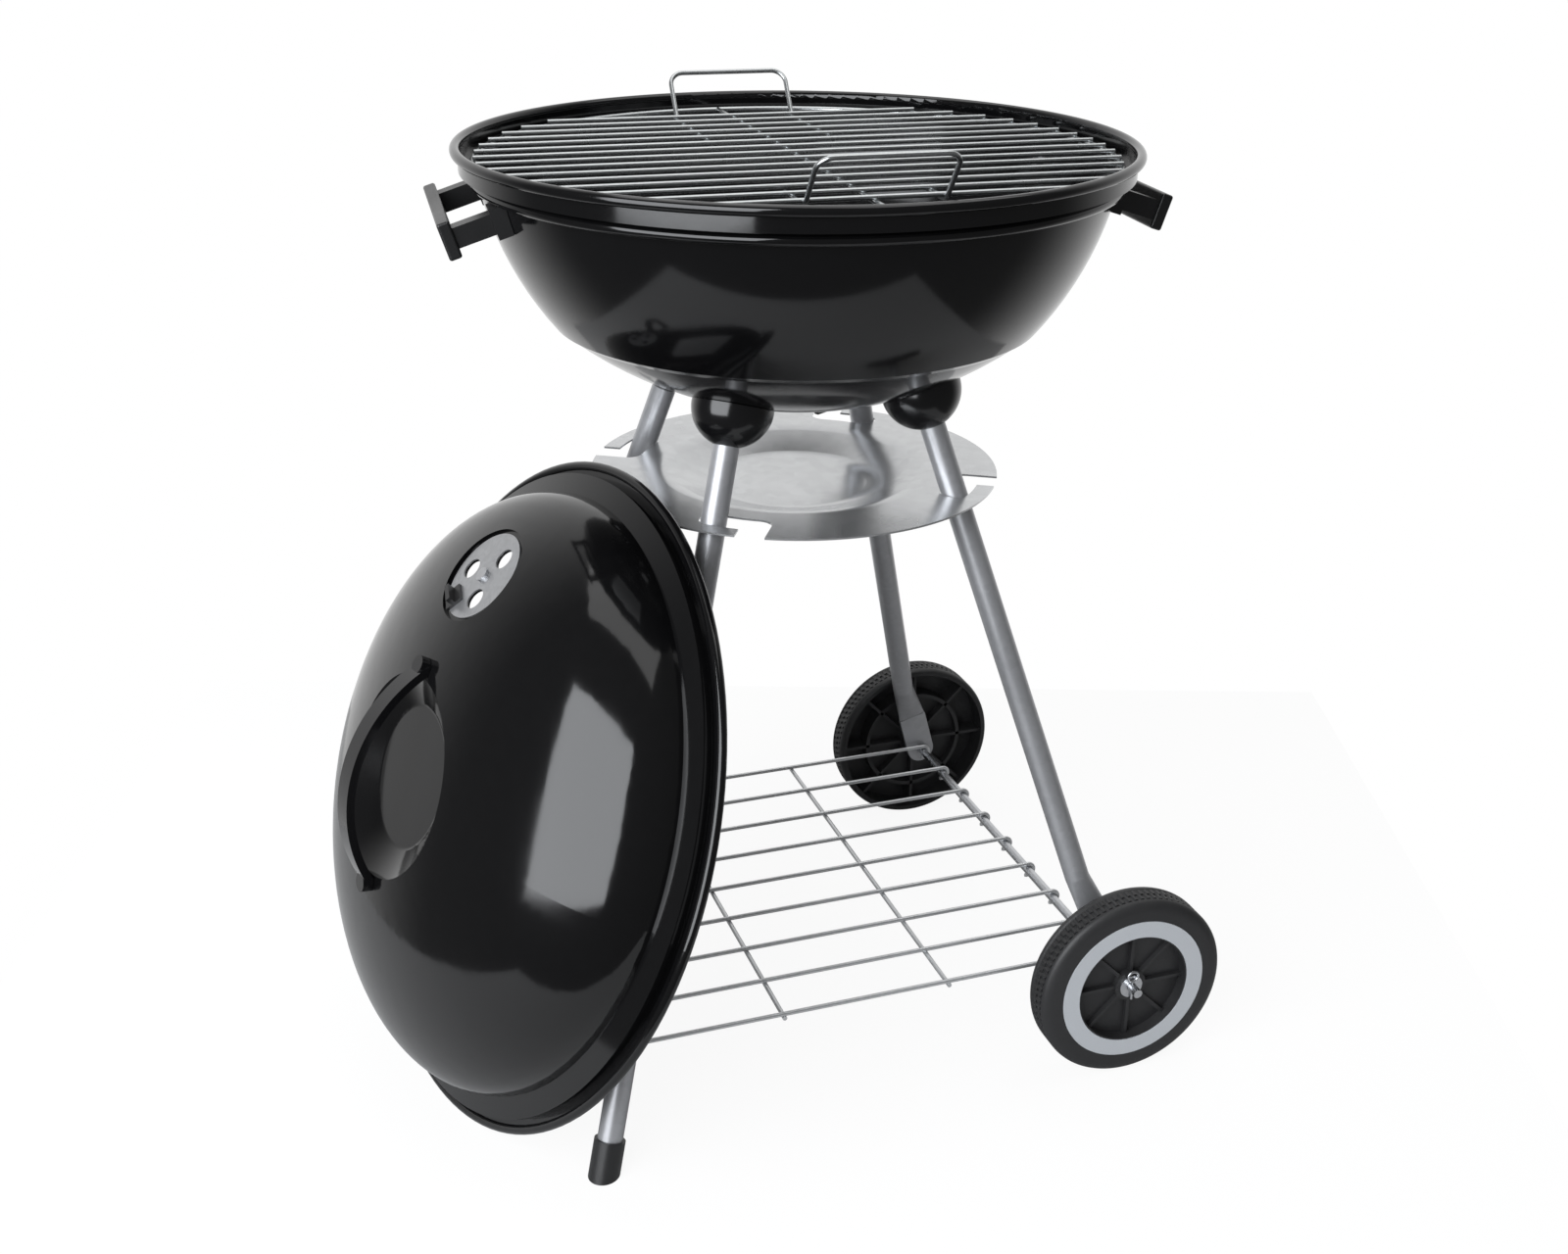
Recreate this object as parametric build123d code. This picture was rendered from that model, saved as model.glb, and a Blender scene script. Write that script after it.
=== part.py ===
"""Kettle charcoal grill on four splayed legs, with its lid leaning on the ash tray.

Millimetres, +Z up, the floor at z = 0. The pieces are modelled round the bowl's
axis, with the wheels on +X and the foot caps on -X, and the finished assembly is
moved so that the origin is the bottom centre of its bounding box.
"""
import os
from math import atan2, cos, pi, radians, sin, sqrt, tan

from build123d import *

# Clearances
seat_gap = 0.3
running_gap = 0.05
hole_gap = 0.2
weld_bite = 0.3

# Bowl
rim_radius = 207.5
rim_height = 588.0
sheet = 1.5
lip_bead_radius = 3.2
collar_radius = 203.0
ledge_depth = 15.0
wall_top_radius = 193.5
wall_foot_radius = 151.5
wall_foot_depth = 106.5
cap_sphere_radius = 234.5
cap_edge_radius = 146.5
bowl_depth = 161.0
vent_pad_radius = 34.0

# Vent dampers, the same in the bowl and in the lid
damper_radius = 30.0
damper_thickness = 1.0
vent_hole_radius = 6.8
vent_hole_circle = 17.0
vent_hole_count = 3
rivet_radius = 2.5
rivet_head_radius = 4.5
rivet_head_height = 2.0
tab_width = 14.0
tab_length = 12.0
tab_base = 2.0
tab_grip = 3.0
tab_rise = 7.0

# Legs, sockets and feet
leg_tilt = 21.5
leg_radius = 8.0
leg_wall = 1.2
socket_radius = 25.0
socket_floor = 4.0
insert_length = 20.0
bolt_radius = 3.0
bolt_head_radius = 6.0
bolt_head_height = 3.5
bolt_reach = 18.0
foot_radius = 9.8
foot_grip = 14.0
foot_floor = 8.0

# Axle, wheels and the flattened leg ends
wheel_radius = 65.0
wheel_width = 23.0
wheel_inner_face = 172.0
axle_reach = 171.0
axle_radius = 3.0
axle_overhang = 8.0
hub_radius = 11.0
hub_outer_drop = 4.0
washer_radius = 8.0
washer_thickness = 1.2
plate_thickness = 3.2
plate_width = 22.0
plate_offset = 161.0
plate_top = 95.0
flatten_start = 128.0
tyre_thickness = 5.0
tyre_round = 4.0
face_thickness = 5.0
rim_inner_radius = 38.5
rim_thickness = 3.0
ring_outer_radius = 51.0
ring_inner_radius = 39.5
ring_thickness = 1.6
ring_proud = 0.4
web_thickness = 4.0
spoke_count = 8
spoke_thickness = 2.4
spoke_front_height = 3.0
spoke_back_height = 7.0
cotter_wire = 0.9
cotter_loop = 3.6
cotter_leg = 9.0

# Shelf
shelf_wire_radius = 1.5
shelf_rod_radius = 2.5
shelf_wire_count = 9
shelf_bay = 114.0
hook_turn = 200.0

# Ash tray
tray_radius = 131.0
tray_drop = 208.0
tray_thickness = 1.2
dish_radius = 84.0
dish_floor_radius = 52.0
dish_depth = 10.0
dish_round = 30.0
entry_turn = 14.0

# Charcoal grate
coal_ring_radius = 140.0
coal_ring_wire = 2.0
coal_wire = 1.75
coal_wire_count = 9
coal_wire_pitch = 30.0

# Cooking grate
grate_ring_radius = 194.0
grate_ring_wire = 2.0
grate_wire = 1.5
grate_wire_count = 15
grate_wire_pitch = 20.9
grate_turn = -2.9
grate_handle_width = 80.0
grate_handle_length = 36.0
grate_handle_lean = 38.0
grate_handle_round = 9.0
grate_rear_foot = 92.0
grate_front_foot = 38.0

# Side handles
handle_azimuth = 174.5
handle_depth = 33.0
handle_dip = 18.0
handle_length = 118.0
handle_height = 22.0
handle_thickness = 7.5
handle_reach = 30.0
handle_round = 1.5
arm_spacing = 102.0
arm_size = 12.0
spacer_size = 18.0
screw_radius = 2.5
screw_head_radius = 5.0
screw_head_height = 3.0
screw_bite = 14.0

# Lid
lid_radius = 212.0
lid_bead_radius = 3.0
lid_collar_radius = 203.0
lid_collar_height = 11.0
dome_foot_radius = 189.5
dome_foot_height = 15.0
dome_height = 101.0
well_radius = 63.0
well_floor_radius = 44.0
well_depth = 11.0
well_round = 4.0
lid_vent_radius = 132.0
vent_pocket_radius = 33.0
vent_pocket_depth = 4.6
lid_handle_span = 138.0
lid_handle_rise = 30.0
lid_handle_width = 15.0
lid_handle_thickness = 5.0
lid_post_radius = 6.0
lid_post_height = 6.0
lid_screw_radius = 2.0
lid_screw_head = 4.0
lid_fittings_turn = 5.0

# How the lid stands
lid_lean = 21.5
lid_turn = 192.0
lid_shift = 4.0

# Places that follow from the sizes
cap_centre_z = rim_height - bowl_depth + cap_sphere_radius
tray_height = rim_height - tray_drop
tilt = radians(leg_tilt)
slope = tan(tilt)
side_slope = slope * cos(pi / 4)
foot_azimuths = {"front_left": 225.0, "rear_left": 135.0}
wheel_azimuths = {"front_right": 315.0, "rear_right": 45.0}
leg_azimuths = {**foot_azimuths, **wheel_azimuths}
leg_top = cap_sphere_radius + socket_floor
leg_end = (cap_centre_z - foot_floor) / cos(tilt)
axle_z = wheel_radius
wheel_outer_face = wheel_inner_face + wheel_width
plate_face = plate_offset + plate_thickness / 2
hub_inner_face = plate_face + washer_thickness + 2 * running_gap
hub_outer_face = wheel_outer_face - hub_outer_drop
cotter_place = hub_outer_face + washer_thickness + cotter_wire + 3 * running_gap
axle_end = cotter_place + axle_overhang
shelf_z = axle_z + axle_radius + shelf_wire_radius + running_gap
shelf_rod_z = shelf_z - shelf_wire_radius - shelf_rod_radius + weld_bite
shelf_rod_x = -(cap_centre_z - shelf_rod_z) * side_slope
shelf_room = min(-shelf_rod_x - leg_radius / cos(tilt), plate_offset - plate_thickness / 2)
shelf_half_width = shelf_room - 2 * shelf_wire_radius

pieces = {}


def chain(*parts):
    """Join lines and arcs, end to end, into one wire."""
    return Wire([edge for part in parts for edge in part.edges()])


def section(*parts):
    """Return the face inside the closed profile that lines and arcs make."""
    return make_face([edge for part in parts for edge in part.edges()])


def turned(profile):
    """Revolve a face, drawn as radius and height, about Z."""
    return revolve(Plane.XZ * profile, axis=Axis.Z)


def filled(skin):
    """Turn an open skin into the solid between it and the axis, flat at the top."""
    low, high = sorted((skin @ 0, skin @ 1), key=lambda end: end.X)
    return turned(section(skin, Polyline((low.X, low.Y), (0, high.Y), (high.X, high.Y))))


def rod(path, radius):
    """Return a round rod along a line or a path of lines and tangent arcs."""
    return sweep(Plane(origin=path @ 0, z_dir=path % 0) * Circle(radius), path=path)


def post(radius, low, high):
    """Return a round post about Z between two heights."""
    return Pos(0, 0, (low + high) / 2) * Cylinder(radius, high - low)


def ring(inner, outer, low, high):
    """Return a flat ring about Z between two heights."""
    return Pos(0, 0, low) * extrude(Circle(outer) - Circle(inner), high - low)


def group(solids):
    """Return separate solids as one piece."""
    return Compound([solid for item in solids for solid in item.solids()])


def half_chord(radius, offset):
    """Half the length of a chord at an offset from a circle's centre."""
    return sqrt(radius**2 - offset**2)


def leg_frame(azimuth):
    """Plane at the centre of the bowl's bottom sphere, its Z axis pointing down a leg."""
    a = radians(azimuth)
    down = Vector(sin(tilt) * cos(a), sin(tilt) * sin(a), -cos(tilt))
    return Plane(origin=(0, 0, cap_centre_z), x_dir=(-sin(a), cos(a), 0), z_dir=down)


# Bowl: one pressed sheet with a rolled lip, a ledge, a bellied wall and a domed bottom
def cap_height(radius):
    """Height of the bowl's domed bottom at a radius."""
    return cap_centre_z - half_chord(cap_sphere_radius, radius)


collar_top = (collar_radius, rim_height - lip_bead_radius)
ledge_outer = (collar_radius, rim_height - ledge_depth)
wall_top = (wall_top_radius, rim_height - ledge_depth)
wall_foot = (wall_foot_radius, rim_height - wall_foot_depth)
wall_gap = (wall_top_radius**2 - wall_foot_radius**2) / (wall_top[1] - wall_foot[1])
wall_centre_z = (wall_top[1] + wall_foot[1] + wall_gap) / 2
wall_ball_radius = sqrt(wall_top_radius**2 + (wall_top[1] - wall_centre_z) ** 2)


def wall_radius(z):
    """Radius of the bowl's outer wall at a height."""
    return half_chord(wall_ball_radius, z - wall_centre_z)


wall_middle = (wall_top[1] + wall_foot[1]) / 2
wall_arc = ThreePointArc(wall_top, (wall_radius(wall_middle), wall_middle), wall_foot)
cap_edge = (cap_edge_radius, cap_height(cap_edge_radius))
cap_middle = (cap_edge_radius + vent_pad_radius) / 2
pad_z = cap_height(vent_pad_radius)
cap_arc = ThreePointArc(cap_edge, (cap_middle, cap_height(cap_middle)), (vent_pad_radius, pad_z))
bowl_skin = chain(
    Polyline(collar_top, ledge_outer, wall_top),
    wall_arc,
    Line(wall_foot, cap_edge),
    cap_arc,
    Line((vent_pad_radius, pad_z), (0, pad_z)),
)
bowl_outside = filled(bowl_skin.offset_2d(seat_gap, side=Side.LEFT, closed=False))
bowl_inside = filled(bowl_skin.offset_2d(sheet + seat_gap, side=Side.RIGHT, closed=False))
lip = Pos(rim_radius - lip_bead_radius, rim_height - lip_bead_radius) * Circle(lip_bead_radius)
bowl = turned(section(bowl_skin.offset_2d(sheet, side=Side.RIGHT)) + lip)


# Vent parts, drawn on a flat wall whose outer face is z = 0
def vent_cuts():
    """Return the air holes and the rivet hole of a vent."""
    holes = [
        place * post(vent_hole_radius, -2 * sheet, 2 * sheet)
        for place in PolarLocations(vent_hole_circle, vent_hole_count)
    ]
    return holes + [post(rivet_radius + running_gap, -2 * sheet, 2 * sheet)]


damper_top = running_gap + damper_thickness
damper = post(damper_radius, running_gap, damper_top) - vent_cuts()
tab_place = Rot(0, 0, 180 / vent_hole_count) * Pos(damper_radius - tab_length / 2, 0, damper_top)
tab_plate = Pos(0, 0, tab_base / 2) * Box(tab_length, tab_width, tab_base)
tab_wall = Pos(0, 0, tab_rise / 2) * Box(tab_grip, tab_width, tab_rise)
damper_tab = tab_place * (tab_plate + tab_wall)
rivet_seat = damper_top + running_gap
rivet = (
    post(rivet_radius, -sheet - rivet_head_height, rivet_seat + rivet_head_height)
    + post(rivet_head_radius, rivet_seat, rivet_seat + rivet_head_height)
    + post(rivet_head_radius, -sheet - rivet_head_height, -sheet)
)

bowl_vent_frame = Plane(origin=(0, 0, pad_z), x_dir=(1, 0, 0), z_dir=(0, 0, -1))
bowl -= [bowl_vent_frame * cut for cut in vent_cuts()]
pieces["bowl_damper"] = bowl_vent_frame * damper
pieces["bowl_damper_tab"] = bowl_vent_frame * damper_tab
pieces["bowl_vent_rivet"] = bowl_vent_frame * rivet

# Side handles, each on two spacers and two screws through the wall
handle_root = wall_radius(rim_height - handle_depth)


def handle_frame(azimuth):
    """Plane at the wall behind a handle, its Z axis along the arms."""
    a = radians(azimuth)
    dip = radians(handle_dip)
    out = Vector(cos(dip) * cos(a), cos(dip) * sin(a), -sin(dip))
    root = (handle_root * cos(a), handle_root * sin(a), rim_height - handle_depth)
    return Plane(origin=root, x_dir=(-sin(a), cos(a), 0), z_dir=out)


arm_length = handle_reach - handle_thickness / 2
arm_places = [Pos(-arm_spacing / 2, 0, 0), Pos(arm_spacing / 2, 0, 0)]
bar = Pos(0, 0, arm_length) * Box(handle_length, handle_height, handle_thickness)
bar = fillet(bar.edges(), handle_round)
arms = [place * Pos(0, 0, arm_length / 2) * Box(arm_size, arm_size, arm_length) for place in arm_places]
arm_bores = [place * post(screw_radius + running_gap, -screw_bite, screw_bite) for place in arm_places]
side_handle = bar + arms - arm_bores
wall_drop = handle_root - half_chord(handle_root, arm_spacing / 2 + spacer_size)
spacer_depth = wall_drop + spacer_size
spacer = Pos(0, 0, -spacer_depth / 2) * Box(spacer_size, spacer_size, spacer_depth)
spacer -= post(screw_radius + hole_gap, -spacer_depth, 0)
head_end = -(wall_drop + sheet + screw_head_height)
shank = post(screw_radius, head_end, screw_bite)
screw_head = post(screw_head_radius, head_end, 0)
spacers = []
screws = []
for name, azimuth in (("left", handle_azimuth), ("right", handle_azimuth + 180)):
    at = handle_frame(azimuth)
    pieces["handle_" + name] = at * side_handle
    for place in arm_places:
        spacers.append(at * (place * spacer) - bowl_outside)
        screws.append(at * (place * shank) + (at * (place * screw_head) & bowl_inside))
        bowl -= at * (place * post(screw_radius + hole_gap, head_end, arm_length))
pieces["handle_spacers"] = group(spacers)
pieces["handle_screws"] = group(screws)

# Leg sockets, each a half ball under the bowl with a bolt down into its leg
bolt_seat = half_chord(cap_sphere_radius - sheet, bolt_head_radius) - running_gap
plug_radius = leg_radius - leg_wall - running_gap
socket = Pos(0, 0, cap_sphere_radius) * Sphere(socket_radius)
socket -= Sphere(cap_sphere_radius + seat_gap)
socket -= post(leg_radius + running_gap, leg_top, leg_top + socket_radius)
socket -= post(bolt_radius + hole_gap, cap_sphere_radius, leg_top)
bolt = post(bolt_radius, bolt_seat, leg_top + bolt_reach)
bolt += post(bolt_head_radius, bolt_seat - bolt_head_height, bolt_seat)
insert = ring(bolt_radius + running_gap, plug_radius, leg_top, leg_top + insert_length)
for name, azimuth in leg_azimuths.items():
    bowl -= leg_frame(azimuth) * post(bolt_radius + hole_gap, bolt_seat, leg_top)
    pieces["socket_" + name] = leg_frame(azimuth) * socket
pieces["socket_bolts"] = group([leg_frame(azimuth) * bolt for azimuth in leg_azimuths.values()])
pieces["leg_inserts"] = group([leg_frame(azimuth) * insert for azimuth in leg_azimuths.values()])
pieces["bowl"] = bowl

# Foot legs: plain tubes in black caps that are cut flat on the floor
rod_holes = Pos(shelf_rod_x, 0, shelf_rod_z) * Rot(90, 0, 0) * Cylinder(
    shelf_rod_radius + hole_gap, -2 * shelf_rod_x
)
foot_leg = ring(leg_radius - leg_wall, leg_radius, leg_top, leg_end)
foot_cap = post(foot_radius, leg_end - foot_grip, leg_end + 2 * foot_floor)
foot_cap -= post(leg_radius + running_gap, leg_end - foot_grip, leg_end)
above_floor = Pos(0, 0, rim_height / 2) * Box(4 * rim_radius, 4 * rim_radius, rim_height)
for name, azimuth in foot_azimuths.items():
    pieces["leg_" + name] = leg_frame(azimuth) * foot_leg - rod_holes
    pieces["foot_cap_" + name] = leg_frame(azimuth) * foot_cap & above_floor

# Wheel legs: tubes whose ends are pressed flat and bored for the axle
bend = (cap_centre_z - flatten_start) / cos(tilt)
leg_line = leg_frame(wheel_azimuths["front_right"])
across = Vector(1, 0, side_slope).normalized()
flat_down = Vector(side_slope, 0, -1).normalized()
bend_across = (across - leg_line.z_dir * across.dot(leg_line.z_dir)).normalized()
bend_point = leg_line.origin + leg_line.z_dir * bend
bend_plane = Plane(origin=bend_point, x_dir=bend_across, z_dir=leg_line.z_dir)
plate_head = Vector(axle_reach - (plate_top - axle_z) * side_slope, -plate_offset, plate_top)
head_plane = Plane(origin=plate_head, x_dir=across, z_dir=flat_down)
plate_plane = Plane(origin=(axle_reach, -plate_offset, axle_z), x_dir=across, z_dir=(0, -1, 0))
plate_length = (plate_head - plate_plane.origin).length
plate_shape = Circle(plate_width / 2) + Pos(0, plate_length / 2) * Rectangle(plate_width, plate_length)
plate_shape -= Circle(axle_radius + running_gap)
plate = extrude(plate_plane * plate_shape, plate_thickness / 2, both=True)
plate_section = head_plane * Ellipse(plate_width / 2, plate_thickness / 2)
pressed = loft([bend_plane * Circle(leg_radius), plate_section])
wheel_leg = leg_line * ring(leg_radius - leg_wall, leg_radius, leg_top, bend) + pressed + plate
pieces["leg_front_right"] = wheel_leg
pieces["leg_rear_right"] = mirror(wheel_leg, about=Plane.XZ)

# Axle with its washers and cotter pins
axle = Pos(axle_reach, 0, axle_z) * Rot(90, 0, 0) * Cylinder(axle_radius, 2 * axle_end)
washer = ring(axle_radius + hole_gap, washer_radius, 0, washer_thickness)
loop_z = axle_radius + cotter_loop + 2 * cotter_wire
cotter = post(cotter_wire, -cotter_leg, loop_z - cotter_loop)
cotter += Pos(0, 0, loop_z) * Rot(90, 0, 0) * Torus(cotter_loop, cotter_wire)
washers = []

# Wheels: a moulded tyre and face on a ribbed web, with a light ring let into the face
face_low = wheel_outer_face - face_thickness
web_high = face_low - spoke_front_height
web_low = web_high - web_thickness
spoke_low = web_low - spoke_back_height
tyre_inner = wheel_radius - tyre_thickness
tyre = ring(tyre_inner, wheel_radius, wheel_inner_face, wheel_outer_face)
tyre = fillet(tyre.edges().filter_by(GeomType.CIRCLE).sort_by(SortBy.RADIUS)[-2:], tyre_round)
spoke = Pos((hub_radius + tyre_inner) / 2, 0, (spoke_low + face_low) / 2) * Box(
    tyre_inner - hub_radius + 2 * weld_bite, spoke_thickness, face_low - spoke_low
)
wheel_body = tyre + [
    ring(rim_inner_radius, tyre_inner, face_low, wheel_outer_face),
    ring(rim_inner_radius, rim_inner_radius + rim_thickness, spoke_low, face_low),
    ring(axle_radius, rim_inner_radius, web_low, web_high),
    ring(axle_radius, hub_radius, hub_inner_face, hub_outer_face),
    *[place * spoke for place in PolarLocations(0, spoke_count)],
]
ring_seat = wheel_outer_face + ring_proud - ring_thickness
ring_bed = (ring_inner_radius - hole_gap, ring_outer_radius + hole_gap)
wheel_body -= ring(*ring_bed, ring_seat, wheel_outer_face)
wheel_body -= post(axle_radius + running_gap, hub_inner_face, hub_outer_face)
wheel_ring = ring(ring_inner_radius, ring_outer_radius, ring_seat, ring_seat + ring_thickness)
for name, side in (("front", -1), ("rear", 1)):
    hub_frame = Plane(origin=(axle_reach, 0, axle_z), x_dir=(1, 0, 0), z_dir=(0, side, 0))
    pieces["wheel_" + name] = hub_frame * wheel_body
    pieces["wheel_ring_" + name] = hub_frame * wheel_ring
    washers.append(hub_frame * Pos(0, 0, plate_face + running_gap) * washer)
    washers.append(hub_frame * Pos(0, 0, hub_outer_face + running_gap) * washer)
    pin_place = Pos(axle_reach, side * cotter_place, axle_z)
    pieces["cotter_pin_" + name] = pin_place * cotter
    axle -= pin_place * post(cotter_wire + hole_gap, -2 * axle_radius, 2 * axle_radius)
pieces["axle"] = axle
pieces["axle_washers"] = group(washers)

# Shelf: wires hooked over the axle, two cross wires and a rod plugged into the foot legs
shelf_pitch = 2 * shelf_half_width / (shelf_wire_count - 1)
hook = chain(
    Line((shelf_rod_x - shelf_rod_radius, shelf_z), (axle_reach, shelf_z)),
    CenterArc((axle_reach, axle_z), shelf_z - axle_z, 90, -hook_turn),
)
shelf_wire = rod(Plane.XZ * hook, shelf_wire_radius)
cross_wire = Rot(90, 0, 0) * Cylinder(shelf_wire_radius, 2 * (shelf_half_width + shelf_wire_radius))
cross_z = shelf_z - 2 * shelf_wire_radius + weld_bite
shelf_rod = Rot(90, 0, 0) * Cylinder(shelf_rod_radius, -2 * (shelf_rod_x + leg_wall))
pieces["shelf"] = Pos(shelf_rod_x, 0, shelf_rod_z) * shelf_rod + [
    *[Pos(0, step * shelf_pitch - shelf_half_width, 0) * shelf_wire for step in range(shelf_wire_count)],
    Pos(axle_reach - shelf_bay, 0, cross_z) * cross_wire,
    Pos(axle_reach - 2 * shelf_bay, 0, cross_z) * cross_wire,
]

# Ash tray: a dished disc that turns onto the legs through four hooked notches
tray_skin = FilletPolyline(
    (tray_radius, tray_height),
    (dish_radius, tray_height),
    (dish_floor_radius, tray_height - dish_depth),
    (0, tray_height - dish_depth),
    radius=dish_round,
)
tray_seat = (cap_centre_z - tray_height + tray_thickness / 2) * slope
notch_width = 2 * leg_radius / cos(tilt) + tray_thickness * slope + 2 * seat_gap
notch = SlotArc(CenterArc((0, 0), tray_seat, 0, entry_turn), notch_width)
notch += Rot(0, 0, entry_turn) * Pos(tray_radius, 0) * Rectangle(2 * (tray_radius - tray_seat), notch_width)
notch_cut = Pos(0, 0, tray_height) * extrude(notch, 2 * tray_thickness, both=True)
ash_tray = turned(section(chain(tray_skin).offset_2d(tray_thickness, side=Side.LEFT)))
pieces["ash_tray"] = ash_tray - [Rot(0, 0, azimuth) * notch_cut for azimuth in leg_azimuths.values()]


# Grates: a ring, wires across its top and one cross wire below them
def wire_grate(ring_radius, ring_wire, wire, count, pitch):
    """Return a round grate, its ring about the origin."""
    wire_z = ring_wire + wire - weld_bite
    under_z = wire_z - 2 * wire + weld_bite
    wires = [rod(Line((0, -ring_radius, under_z), (0, ring_radius, under_z)), wire)]
    for step in range(count):
        y = (step - (count - 1) / 2) * pitch
        reach = half_chord(ring_radius, y)
        wires.append(rod(Line((-reach, y, wire_z), (reach, y, wire_z)), wire))
    return Torus(ring_radius, ring_wire) + wires


def grate_handle(side, foot):
    """Return a wire handle that leans outward, its feet run in under the wires."""
    x = grate_handle_width / 2
    low = grate_ring_wire - grate_wire
    root = side * grate_wire_pitch * (grate_wire_count - 1) / 2
    lean = radians(grate_handle_lean)
    top_y = root + side * grate_handle_length * sin(lean)
    top_z = low + grate_handle_length * cos(lean)
    path = FilletPolyline(
        (-x, root - side * foot, low),
        (-x, root, low),
        (-x, top_y, top_z),
        (x, top_y, top_z),
        (x, root, low),
        (x, root - side * foot, low),
        radius=grate_handle_round,
    )
    return rod(path, grate_wire)


coal_ring_reach = cap_sphere_radius - sheet - coal_ring_wire - seat_gap
coal_ring_z = cap_centre_z - half_chord(coal_ring_reach, coal_ring_radius)
coal_grate = wire_grate(coal_ring_radius, coal_ring_wire, coal_wire, coal_wire_count, coal_wire_pitch)
pieces["charcoal_grate"] = Pos(0, 0, coal_ring_z) * coal_grate
grate_ring_z = rim_height - ledge_depth + sheet + grate_ring_wire + seat_gap
cook_grate = wire_grate(grate_ring_radius, grate_ring_wire, grate_wire, grate_wire_count, grate_wire_pitch)
cook_grate += [grate_handle(1, grate_rear_foot), grate_handle(-1, grate_front_foot)]
pieces["cooking_grate"] = Pos(0, 0, grate_ring_z) * Rot(0, 0, grate_turn) * cook_grate


# Lid: a dome with a rolled rim, a round well in its crown and a flat vent pocket
dome_rise = dome_height - dome_foot_height


def crown_height(radius):
    """Height of the lid's dome at a radius, above the rim's lower edge."""
    return dome_foot_height + dome_rise * half_chord(1, radius / dome_foot_radius)


def dome_normal(radius):
    """Direction square to the dome at a radius, in the plane y = 0."""
    lift = (crown_height(radius) - dome_foot_height) / dome_rise**2
    return Vector(radius / dome_foot_radius**2, 0, lift).normalized()


def dome_solid(inset):
    """Return the solid under the lid's skin, or under its inner face."""
    low = flange_height - inset
    collar = lid_collar_radius - inset
    across = dome_foot_radius - inset
    rise = dome_rise - inset
    dome = EllipticalCenterArc((0, dome_foot_height), across, rise, arc_size=90)
    base = Polyline(
        (0, dome_foot_height + rise),
        (0, low),
        (collar, low),
        (collar, lid_collar_height - inset),
        (across, dome_foot_height),
    )
    return turned(section(dome, base))


def well_cut(grow):
    """Return the tool that sinks the round well, or the larger one for its underside."""
    fall = atan2(well_depth, well_radius - well_floor_radius)
    floor = crown_height(well_radius) - well_depth - grow
    high = dome_height + well_depth
    corner = well_floor_radius + grow * tan(fall / 2)
    mouth = corner + (high - floor) / tan(fall)
    sides = FilletPolyline((mouth, high), (corner, floor), (0, floor), radius=well_round + grow)
    return turned(section(sides, Polyline((0, floor), (0, high), (mouth, high))))


flange_height = lid_bead_radius + sheet / 2
bead_circle = lid_radius - lid_bead_radius
flange = Pos((bead_circle + lid_collar_radius - sheet) / 2, lid_bead_radius) * Rectangle(
    bead_circle - lid_collar_radius + sheet, sheet
)
rim = turned(flange + Pos(bead_circle, lid_bead_radius) * Circle(lid_bead_radius))
vent_out = dome_normal(lid_vent_radius)
vent_skin = Vector(lid_vent_radius, 0, crown_height(lid_vent_radius))
vent_plane = Plane(origin=vent_skin - vent_out * vent_pocket_depth, x_dir=(0, 1, 0), z_dir=vent_out)
fittings = Rot(0, 0, 90 + lid_fittings_turn)
pocket = fittings * (vent_plane * post(vent_pocket_radius, 0, 2 * vent_pocket_depth))
pocket_back = fittings * (vent_plane * post(vent_pocket_radius + sheet, -sheet, 2 * vent_pocket_depth))
lid_outside = dome_solid(0) - well_cut(0) - pocket
lid_inside = dome_solid(sheet) - well_cut(sheet) - pocket_back
lid_shell = lid_outside - lid_inside + rim
lid_shell -= [fittings * (vent_plane * cut) for cut in vent_cuts()]

# Lid handle: a strap arched over the well, on two feet screwed from inside
strap_foot = lid_handle_span / 2
strap_low = crown_height(strap_foot)
strap_top = (0, strap_low + lid_handle_rise)
strap_line = ThreePointArc((-strap_foot, strap_low), strap_top, (strap_foot, strap_low))
strap = extrude(Plane.XZ * SlotArc(strap_line, lid_handle_thickness), lid_handle_width / 2, both=True)
lid_screws = []
for side in (-1, 1):
    lean_out = dome_normal(strap_foot)
    foot_out = Vector(side * lean_out.X, 0, lean_out.Z)
    foot_plane = Plane(origin=(side * strap_foot, 0, strap_low), x_dir=(0, 1, 0), z_dir=foot_out)
    strap += foot_plane * post(lid_post_radius, -lid_post_height, lid_post_height)
    strap -= foot_plane * post(lid_screw_radius + running_gap, -lid_post_height, lid_post_height - sheet)
    lid_shell -= fittings * (foot_plane * post(lid_screw_radius + hole_gap, -2 * sheet, sheet))
    screw_seat = -sheet - seat_gap
    lid_screw = post(lid_screw_radius, screw_seat, lid_post_height - 2 * sheet)
    lid_screw += post(lid_screw_head, screw_seat - rivet_head_height, screw_seat)
    lid_screws.append(fittings * (foot_plane * lid_screw))
lid_handle = fittings * strap - Pos(0, 0, seat_gap) * lid_outside

# The lid stands on its rim and leans on the edge of the ash tray
lean = radians(lid_lean)
turn = radians(lid_turn)
away = Vector(cos(turn), sin(turn), 0)
sideways = Vector(-sin(turn), cos(turn), 0)
lid_axis = away * cos(lean) + Vector(0, 0, sin(lean))
lid_up = Vector(0, 0, cos(lean)) - away * sin(lean)
rest_height = seat_gap + lid_bead_radius + bead_circle * cos(lean) - lid_bead_radius * sin(lean)


def lid_centre(distance):
    """Centre of the lid's rim, at a distance from the bowl's axis."""
    return away * distance + sideways * lid_shift + Vector(0, 0, rest_height)


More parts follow.
